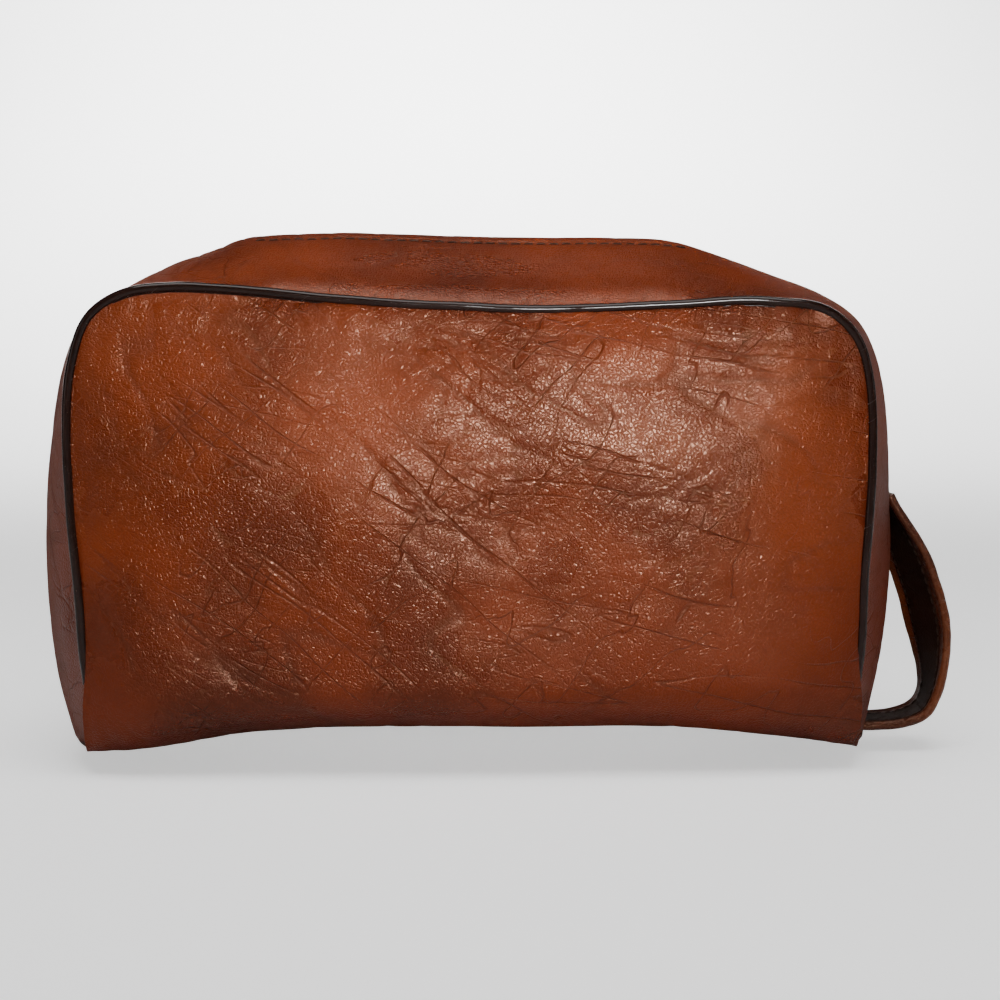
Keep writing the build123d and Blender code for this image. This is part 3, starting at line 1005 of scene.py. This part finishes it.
    def _band_piece(self, points: Array, normals: Array, masks: dict, side: Side, end: End) -> None:
        """Closed section of the folded leather, swept along the crest."""
        edge, out = points[:, -1], normals[:, -1]
        along = unit(np.gradient(edge, axis=0))
        inward = unit(np.cross(along, out)) * (1 if side is Side.FRONT else -1)
        inward *= np.sign(-side.value * inward[:, 1:2])
        radius = 1.5
        core = edge - out * radius
        arc = [
            core + radius * (out * math.cos(a) + inward * math.sin(a))
            for a in np.linspace(0, np.pi, 10)[1:]
        ]
        under = [core - out * radius - inward * d for d in (1.5, 3.2, self.fold)]
        below = points - normals * self.leather
        start = int(round(self.fold / 1.05))
        back = [below[:, -start - i] for i in range(0, below.shape[1] - start + 1, 2)]
        loop = np.stack([*np.moveaxis(points, 1, 0), *arc, *under, *back], axis=1)
        extra = loop.shape[1] - points.shape[1]
        loop_masks = {
            name: np.pad(value, ((0, 0), (0, extra)), mode="edge") * np.r_[
                np.ones(points.shape[1]), np.zeros(extra)
            ]
            for name, value in masks.items()
        }
        faces = quads(*loop.shape[:2], closed=True)
        if side is Side.BACK:
            faces = faces[:, ::-1]
        shade = grid_normals(loop, closed=True) * (1 if side is Side.FRONT else -1)
        shade[:, : points.shape[1] - 1] = normals[:, :-1]
        data = MeshData()
        data.add(loop, faces, shade, **loop_masks)
        name = f"top_band_{side.name.lower()}_{end.name.lower()}"
        piece = data.build(name, self.cover)
        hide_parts(f"top_band_{side.name.lower()}")
        self._follow(piece, side, end)
        cloth = below[::3, :-start:3] - normals[::3, :-start:3] * 0.9
        lining = shell(cloth, normals[::3, :-start:3], 0.4)
        if side is Side.BACK:
            lining.faces = [faces[:, ::-1] for faces in lining.faces]
        piece = lining.build(f"top_lining_{side.name.lower()}_{end.name.lower()}", self.cloth)
        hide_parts(f"top_lining_{side.name.lower()}")
        self._follow(piece, side, end)

    def _beyond(self, points: Array) -> Array:
        """Share of the top band's own shape, fading to nothing where the gussets begin."""
        return smoothstep(self.form.slot_end, 60.0, np.abs(points[..., 0]))

    def _stitches(self, points: Array, normals: Array, side: Side, end: End) -> None:
        """Row of stitches beside the folded edge."""
        column = 29
        row, out = points[:, column], normals[:, column]
        along = unit(np.gradient(row, axis=0))
        across = unit(np.cross(along, out))
        x = row[:, 0]
        data = MeshData()
        pitch, half = self.stitch_pitch, 1.72
        first = 0.5 * pitch
        marks = end.value * np.arange(first, self.form.slot_end - 2, pitch)
        order = np.argsort(x)
        for mark in marks:
            at = mark + np.linspace(-half, half, 7)
            base, up, wide = (
                np.stack([np.interp(at, x[order], v[order, i]) for i in range(3)], -1)
                for v in (row, out, across)
            )
            lift = 0.42 * np.sqrt(np.clip(1 - (np.linspace(-1, 1, 7)) ** 4, 0, 1)) - 0.14
            taper = np.sqrt(np.clip(1 - (np.linspace(-1, 1, 7) * 0.94) ** 4, 0, 1))
            section = ellipse(0.36, 0.3, 8)[None] * taper[:, None, None]
            strand = tube(base + up * lift[:, None], wide, up, section)
            data.add(np.vstack(strand.points), np.zeros((0, 4), int))
            offset = data.count - strand.count
            data.faces.extend(np.asarray(f) + offset for f in strand.faces)
        piece = data.build(f"thread_{side.name.lower()}_{end.name.lower()}", self.thread)
        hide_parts(f"zip_thread_{side.name.lower()}", "zip_thread_ends")
        self._follow(piece, side, end)

    def _tape(self, keys: Array, edge: Array, side: Side, end: End) -> None:
        """Woven tape from the chain to under the folded leather."""
        shares = np.array([0.0, 0.25, 0.5, 0.75, 1.0, 1.25, 1.6, 2.0])
        y = np.minimum(shares, 1) * 5.2 + np.maximum(shares - 1, 0) * 6.0 + 0.3
        drop = np.maximum(y - 6.2, 0) * 0.62
        height = np.minimum(self.chain_z + 0.3, edge[:, 2] - 3.0 / math.cos(0.48) - 0.15)
        grid = np.empty((len(keys), len(y), 3))
        grid[..., 0] = np.clip(edge[:, :1], -self.form.slot_end, self.form.slot_end)
        grid[..., 1] = side.value * y
        near = smoothstep(4.6, 6.2, y)
        grid[..., 2] = (self.chain_z + 0.3) * (1 - near) + height[:, None] * near - drop
        normals = grid_normals(grid)
        normals *= np.sign(normals[..., 2:3])
        data = shell(grid, normals, self.tape_thickness)
        if side is Side.FRONT:
            data.faces = [faces[:, ::-1] for faces in data.faces]
        name = f"zip_tape_{side.name.lower()}_{end.name.lower()}"
        piece = data.build(name, self.tape)
        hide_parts(f"zip_tape_{side.name.lower()}", f"zip_tape_end_{end.name.lower()}")
        self._follow(piece, side, end)

    def _teeth(self, side: Side, end: End) -> None:
        """Interlocking cast teeth: a root on the tape and a head that reaches past the middle."""
        data = MeshData()
        shift = 0.0 if side is Side.FRONT else 1.25
        marks = np.arange(-71.25 + shift, 72.0, 2.5)
        profile = np.array(
            [(-3.6, 0.75), (-3.2, 1.0), (-1.6, 1.0), (-1.0, 0.75), (-0.2, 0.6), (0.15, 0.45)]
        )
        wide = np.array([0.52, 0.6, 0.58, 0.45, 0.52, 0.34])
        corner = np.array([(-1, -0.7), (-0.7, -1), (0.7, -1), (1, -0.7), (1, 0.7), (0.7, 1),
                           (-0.7, 1), (-1, 0.7)])
        for mark in marks[np.sign(marks + 0.01) == end.value]:
            path = np.stack(
                [np.full(6, mark), side.value * profile[:, 0], np.full(6, self.chain_z)], -1
            )
            section = corner[None] * np.stack([wide, profile[:, 1]], -1)[:, None]
            tooth = tube(
                path, np.tile((1.0, 0, 0), (6, 1)), np.tile((0, 0, 1.0), (6, 1)), section
            )
            data.add(np.vstack(tooth.points), np.zeros((0, 4), int))
            offset = data.count - tooth.count
            data.faces.extend(np.asarray(f) + offset for f in tooth.faces)
        piece = data.build(f"zip_teeth_{side.name.lower()}_{end.name.lower()}", self.brass)
        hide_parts(f"zip_teeth_{side.name.lower()}", f"zip_teeth_end_{end.name.lower()}")
        self._follow(piece, side, end)

    # ------------------------------------------------------------ body sheet
    def _face(self, columns: int, rows: int) -> Array:
        """Wall inside its seam: x and z of a grid, top row first."""
        first, corner, last = 1.0, 6.45, len(SEAM) - 1
        inset = 1.2

        def border(a: float, b: float, count: int) -> Array:
            """Even points of the seam, moved in from the piping."""
            dense = np.linspace(a, b, 800)
            key = np.interp(
                np.linspace(0, 1, count),
                np.linspace(0, 1, 2 * count),
                even_steps(self.form.seam(dense), dense, 1e-9 + self._length(dense) / (2 * count - 1)),
            )
            line = self.form.seam(key)
            along = unit(np.gradient(line, axis=0))
            return line + inset * np.stack([along[:, 1], -along[:, 0]], -1)

        left = border(first, corner, rows)[::-1]
        top = border(corner, last - corner + 0.1, columns)
        right = border(last - corner + 0.1, last - first, rows)
        s = np.linspace(0, 1, columns)[None, :, None]
        v = np.linspace(0, 1, rows)[:, None, None]
        bottom = left[-1] * (1 - s[0]) + right[-1] * s[0]
        sides = left[:, None] * (1 - s) + right[:, None] * s
        ends = top[None] * (1 - v) + bottom[None] * v
        corners = (
            (top[0] * (1 - s) + top[-1] * s) * (1 - v) + (bottom[0] * (1 - s) + bottom[-1] * s) * v
        )
        return sides + ends - corners

    def _length(self, keys: Array) -> float:
        """Length of the seam between the first and last of some keys."""
        return float(np.linalg.norm(np.diff(self.form.seam(keys), axis=0), axis=1).sum())

    def _swell(self, x: Array, z: Array) -> Array:
        """How far the wall stands out from the seam's plane."""
        wide = 1 - np.clip(np.abs(x / 125.5), 0, 1) ** 5
        top = 1 - np.exp(-np.clip(145.5 - z, 0, None) / 13.0)
        belly = 0.62 + 0.38 * smoothstep(150.0, 55.0, z)
        return self.bulge * wide * top * belly

    def body_points(self, columns: int, rows: int) -> tuple[Array, Array]:
        """The sheet over the front, under the base and up the back, and its seam distances."""
        flat = self._face(columns, rows)
        x, z = flat[..., 0], flat[..., 1]
        y = -(self.form.piping_y - 0.3) - self._swell(x, z)
        front = np.stack([x, y, z], -1)
        low = front[-1]
        share = np.linspace(-1, 1, columns)
        lift = 0.5 + self.arch * (1 - share**2)
        steps = 22
        turn = np.linspace(0, np.pi / 2, steps + 1)[1:, None]
        radius = self.form.foot_radius + 11.0 * (1 - share**2)
        inward = radius - low[:, 1] - self.form.piping_y + 0.3
        arc_y = low[:, 1] + inward * (1 - np.cos(turn))
        arc_z = low[:, 2] - (low[:, 2] - lift) * np.sin(turn)
        arc_x = np.repeat(low[None, :, 0], steps, axis=0)
        arc = np.stack([arc_x, arc_y, arc_z], -1)
        edge_y = arc[-1, :, 1]
        t = np.linspace(0, 1, 27)[1:-1, None]
        base_y = edge_y * (1 - 2 * t)
        foot = 10.3 * (1 - (base_y / edge_y) ** 2)
        base_x = arc[-1, :, 0] + share * foot
        base = np.stack([base_x, base_y, np.repeat(lift[None], len(t), axis=0)], -1)
        mirror = np.array([1, -1, 1.0])
        half = np.concatenate([front, arc])
        over = self.overhang * (1 - smoothstep(14.0, 38.0, half[..., 2])) * share**8
        half[..., 0] += over * np.sign(share)
        points = np.concatenate([half, base, half[::-1] * mirror])
        from_side = 125.0 - np.abs(points[..., 0])
        from_top = 146.0 - points[..., 2]
        seam = np.clip(np.minimum(from_side, from_top), 0, None)
        return points, seam

    def body(self) -> None:
        """The outer sheet and its lining."""
        points, seam = self.body_points(196, 100)
        points, normals, masks = self._worked(points, seam)
        data = shell(points, normals, self.leather, **masks)
        piece = data.build("body_sheet", self.cover)
        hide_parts("body_panel")
        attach(piece, "bag")
        points, _ = self.body_points(60, 34)
        points = points * (0.985, 1, 1)
        self._lining(points, "body_lining_cloth", "body_lining")

    # ------------------------------------------------------------ piping
    def piping(self, side: Side) -> None:
        """Round piping along one seam, over the turned edge of its own strip."""
        dense = np.linspace(0.18, len(SEAM) - 1.18, 1500)
        keys = even_steps(self.form.seam(dense), dense, 1.1)
        line = self.form.seam(keys)
        tuck = 1 - smoothstep(16.0, 38.0, line[:, 1])
        deep = np.minimum(self.form.piping_y, self.form.half_depth(keys) + 1.7) - 5.5 * tuck
        path = np.stack([line[:, 0], side.value * deep, line[:, 1]], -1)
        wobble = Noise(71)
        path += 0.22 * np.stack([wobble(path / 17.0 + i * 5.0) for i in range(3)], -1)
        along = unit(np.gradient(path, axis=0))
        up = unit(np.cross(along, np.tile((0, 1.0, 0), (len(path), 1))))
        across = np.cross(along, up)
        size = self.piping_radius * (1 + 0.05 * wobble(path / 7.0))
        data = tube(path, across, up, ellipse(1, 1, 16)[None] * size[:, None, None])
        strip = np.linspace(0, 7.0, 6)
        inward = np.stack([-side.value * np.ones(len(path)), np.zeros(len(path))], -1)
        rise = np.clip((self.form.crest(keys)[:, 1] - line[:, 1]) / 36.0, 0, 0.7)
        flange = path[:, None].repeat(6, axis=1)
        flange[..., 1] += inward[:, :1] * strip
        flange[..., 2] += rise[:, None] * np.clip(strip - 1.5, 0, None) - 1.4 * (rise > 0)[:, None]
        flap = shell(flange, grid_normals(flange), 0.5)
        data.add(np.vstack(flap.points), np.zeros((0, 4), int))
        data.faces.extend(f + data.count - flap.count for f in flap.faces)
        piece = data.build(f"piping_{side.name.lower()}", self.vinyl)
        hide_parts(f"{side.name.lower()}_piping")
        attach(piece, "bag")

    def build(self) -> None:
        """Build every piece of the bag."""
        self.body()
        LOG.info("body sheet and lining")
        for end in End:
            self.gusset(end)
        for side in Side:
            self.piping(side)
            for end in End:
                self.top_quarter(side, end)
        LOG.info("gussets, top band, zip chain and piping")


@dataclass
class Strap:
    """Wrist strap: a folded leather band with rolled rims, a dark liner and two rows of thread."""

    effects: Effects
    route: Sequence[tuple[float, float]] = (
        (140.4, 81.0), (145.8, 68.0), (151.0, 54.5), (155.2, 41.0), (157.6, 27.0),
        (157.6, 15.5), (154.4, 7.4), (147.0, 3.8), (137.0, 2.9), (124.5, 3.3),
    )
    width: float = 23.0
    thickness: float = 3.4
    liner_width: float = 15.0
    reach: float = 16.0
    twist: float = 26.0

    def _frame(self) -> tuple[Array, Array, Array]:
        """Middle line of the strap, with its outward and its backward direction."""
        dense = np.linspace(0, len(self.route) - 1, 600)
        keys = even_steps(spline(self.route, dense), dense, 0.7)
        flat = spline(self.route, keys)
        path = np.stack([flat[:, 0], np.zeros(len(flat)), flat[:, 1]], -1)
        along = unit(np.gradient(path, axis=0))
        out = np.cross(along, np.tile((0, 1.0, 0), (len(path), 1)))
        out *= np.sign((out * (path - np.array([120.0, 0, 40.0]))).sum(-1, keepdims=True))
        side = np.tile((0, 1.0, 0), (len(path), 1))
        loop = smoothstep(8, 40, path[:, 2]) * smoothstep(83, 55, path[:, 2])
        turn = np.radians(self.twist) * loop[:, None]
        return path, out * np.cos(turn) + side * np.sin(turn), side * np.cos(turn) - out * np.sin(turn)

    def _section(self) -> Array:
        """Section with rolled rims, across and outward."""
        half, deep = self.width / 2, self.thickness / 2
        outer = [(y, deep - 0.25 * (1 - abs(y / half) ** 3)) for y in np.linspace(-0.8, 0.8, 9) * half]
        turn = np.linspace(np.pi / 2, -np.pi / 2, 9)[1:-1]
        rim = [(half - deep + deep * math.cos(a) * 1.1, deep * 1.05 * math.sin(a)) for a in turn]
        inner = [(y, -deep + 0.9 * (1 - abs(y / half) ** 6)) for y in np.linspace(0.8, -0.8, 15) * half]
        other = [(-y, z) for y, z in rim[::-1]]
        return np.array([*outer, *rim, *inner, *other])

    def _follow(self, piece: bpy.types.Object) -> None:
        """Bake the piece's transform in place."""
        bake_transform(piece)

    def build(self) -> None:
        """Build the band, its liner and its thread."""
        path, out, side = self._frame()
        wrinkle_noise = Noise(83)
        section = np.repeat(self._section()[None], len(path), axis=0)
        grid = path[:, None] + section[..., :1] * side[:, None] + section[..., 1:] * out[:, None]
        rough = wrinkle_noise(grid / (9.0, 6.0, 5.0)) * 0.28 + wrinkle_noise(grid / 2.6) * 0.07
        section = section * (1 + rough[..., None] * np.array([0.02, 0.35]))
        section[..., 0] *= (1 + 0.02 * wrinkle_noise(path / 15.0))[:, None]
        data = tube(path, side, out, section)
        # Painted shade along thin wrinkle lines of the strap.
        crease = np.clip(np.abs(wrinkle_noise(grid / 3.1)) * -6 + 1, 0, 1).reshape(-1)
        rim = np.abs(section[..., 0]) / (self.width / 2)
        data.masks["crease"] = [np.r_[crease, 0, 0]]
        # Painted shade on the strap's flat faces, so the rolled rims read lighter.
        data.masks["low"] = [np.r_[(1 - smoothstep(0.62, 0.8, rim)).reshape(-1), 0, 0]]
        leather = CoverLeather("strap_leather", self.effects, linear(112, 56, 30), linear(62, 30, 20))
        piece = data.build("strap_band", leather.make())
        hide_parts("wrist_strap", "wrist_strap_ends")
        self._follow(piece)
        self._liner(path, out, side)
        self._thread(path, out, side)
        LOG.info("wrist strap")

    def _liner(self, path: Array, out: Array, side: Array) -> None:
        """Dark strip laid into the inner face."""
        half = self.liner_width / 2
        y = np.linspace(-half, half, 15)
        top = [(v, -0.98 - 0.12 * math.cos(v / half * 1.5)) for v in y]
        section = np.array([*top, *[(v, -0.3) for v in y[::-1]]])
        wrinkle_noise = Noise(97)
        grid = path[:, None] + section[:, :1][None] * side[:, None]
        bump = wrinkle_noise(grid / (5.0, 4.0, 3.0)) * 0.14
        section = np.repeat(section[None], len(path), axis=0)
        section[..., 1] -= bump * (section[..., 1] < -0.5)
        data = tube(path, side, out, section)
        # Painted shade where the liner dips in.
        data.masks["crease"] = [np.r_[np.clip(-bump * 6, 0, 1).reshape(-1), 0, 0]]
        data.masks["low"] = [np.zeros(data.count)]
        dark = CoverLeather(
            "strap_liner", self.effects, linear(50, 28, 20), linear(28, 15, 11), rough=0.6,
            gloss=0.1,
        )
        piece = data.build("strap_liner_strip", dark.make())
        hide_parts("strap_liner", "strap_liner_ends")
        self._follow(piece)

    def _thread(self, path: Array, out: Array, side: Array) -> None:
        """Stitches down both edges of the liner."""
        data = MeshData()
        for y in (-self.liner_width / 2 + 0.9, self.liner_width / 2 - 0.9):
            for first in range(4, len(path) - 6, 5):
                rows = slice(first, first + 5)
                bend = np.sin(np.linspace(0, np.pi, 5))[:, None]
                base = path[rows] + side[rows] * y - out[rows] * (0.85 + 0.35 * bend)
                strand = tube(base, side[rows], out[rows], ellipse(0.3, 0.22, 8))
                data.add(np.vstack(strand.points), np.zeros((0, 4), int))
                offset = data.count - strand.count
                data.faces.extend(np.asarray(f) + offset for f in strand.faces)
        piece = data.build("strap_thread", Thread("strap_thread", self.effects).make())
        self._follow(piece)


@dataclass
class ZipHardware:
    """Slider, pull and stops: the machined parts, dressed in worn metal."""

    effects: Effects

    def build(self) -> None:
        """Dress the parts."""
        brass = Metal("zip_hardware", self.effects, linear(188, 150, 88)).make()
        for node in ("zip_slider", "zip_pull", "zip_top_stops", "zip_bottom_stop"):
            part = bpy.data.objects[node]
            part.data.materials.clear()
            part.data.materials.append(brass)
        LOG.info("zip hardware")


@dataclass
class Studio:
    """Pale floor, softboxes and the camera."""

    effects: Effects
    eye: tuple = (-15.9, -737.3, 137.0)
    target: tuple = (9.89, 0.0, 78.97)
    lens: float = 78.7

    def _light(self, name: str, place: Sequence[float], size: Sequence[float], power: float,
               aim: Sequence[float] = (0.0, 0.0, 90.0), spread: float = 180.0) -> None:
        """A rectangular softbox, placed and aimed in mm."""
        lamp = bpy.data.lights.new(name, "AREA")
        lamp.shape = "RECTANGLE"
        lamp.size, lamp.size_y = (s * MM for s in size)
        lamp.energy = power
        lamp.spread = math.radians(spread)
        holder = bpy.data.objects.new(name, lamp)
        holder.location = Vector(place) * MM
        holder.rotation_euler = (Vector(aim) - Vector(place)).to_track_quat("-Z", "Y").to_euler()
        bpy.context.scene.collection.objects.link(holder)

    def build(self) -> None:
        """Build the studio."""
        run = np.array([(-2500.0, 0), (600, 0), (1500, 90), (2200, 400), (2450, 700), (2500, 1000)])
        dense = np.linspace(0, len(run) - 1, 60)
        line = spline(run, dense)
        wide = np.linspace(-3500, 3500, 12)
        grid = np.empty((60, 12, 3))
        grid[..., 0], grid[..., 1], grid[..., 2] = wide[None], line[:, :1], line[:, 1:]
        data = MeshData()
        data.add(grid, quads(60, 12)[:, ::-1])
        floor = data.build("studio_floor", Paper("studio_paper", self.effects).make())
        floor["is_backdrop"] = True
        self._light("key", (190, -1500, 330), (220, 170), 0.29, (0, 0, 114), 17.0)
        self._light("overhead", (0, -350, 1300), (900, 900), 17.0)
        self._light("left", (-900, -620, 300), (120, 500), 1.1)
        self._light("right", (900, -260, 380), (120, 500), 0.7)
        self._light("backdrop", (0, 1500, 1500), (900, 500), 60.0, (0, 2300, 250), 130.0)
        world = bpy.data.worlds.new("studio")
        bpy.context.scene.world = world
        world.use_nodes = True
        sky = Nodes(world.node_tree)
        seen = sky.add("LightPath").outputs["Is Camera Ray"]
        strength = sky.spread(seen, 0.0, 1.0, 0.07, 0.8)
        backdrop = world.node_tree.nodes["Background"]
        backdrop.inputs[0].default_value = (1, 1, 1, 1)
        world.node_tree.links.new(strength, backdrop.inputs[1])
        lens = bpy.data.cameras.new("camera")
        lens.lens, lens.sensor_width = self.lens, 36.0
        lens.clip_start, lens.clip_end = 0.01, 20.0
        camera = bpy.data.objects.new("camera", lens)
        camera.location = Vector(self.eye) * MM
        aim = Vector(self.target) - Vector(self.eye)
        camera.rotation_euler = aim.to_track_quat("-Z", "Y").to_euler()
        bpy.context.scene.collection.objects.link(camera)
        bpy.context.scene.camera = camera


def plain(bounds: Sequence) -> list:
    """Bounds as nested lists of numbers."""
    return [plain(b) if hasattr(b, "__len__") else float(b) for b in bounds]


def main() -> None:
    """Build the model."""
    logging.basicConfig(level=logging.INFO, format="%(message)s")
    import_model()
    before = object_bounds()
    effects = Effects()
    Bag(Form(), Hide(), effects).build()
    Strap(effects).build()
    ZipHardware(effects).build()
    Studio(effects).build()
    {"cad": plain(before), "visual": plain(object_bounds())}


if __name__ == "__main__":
    main()
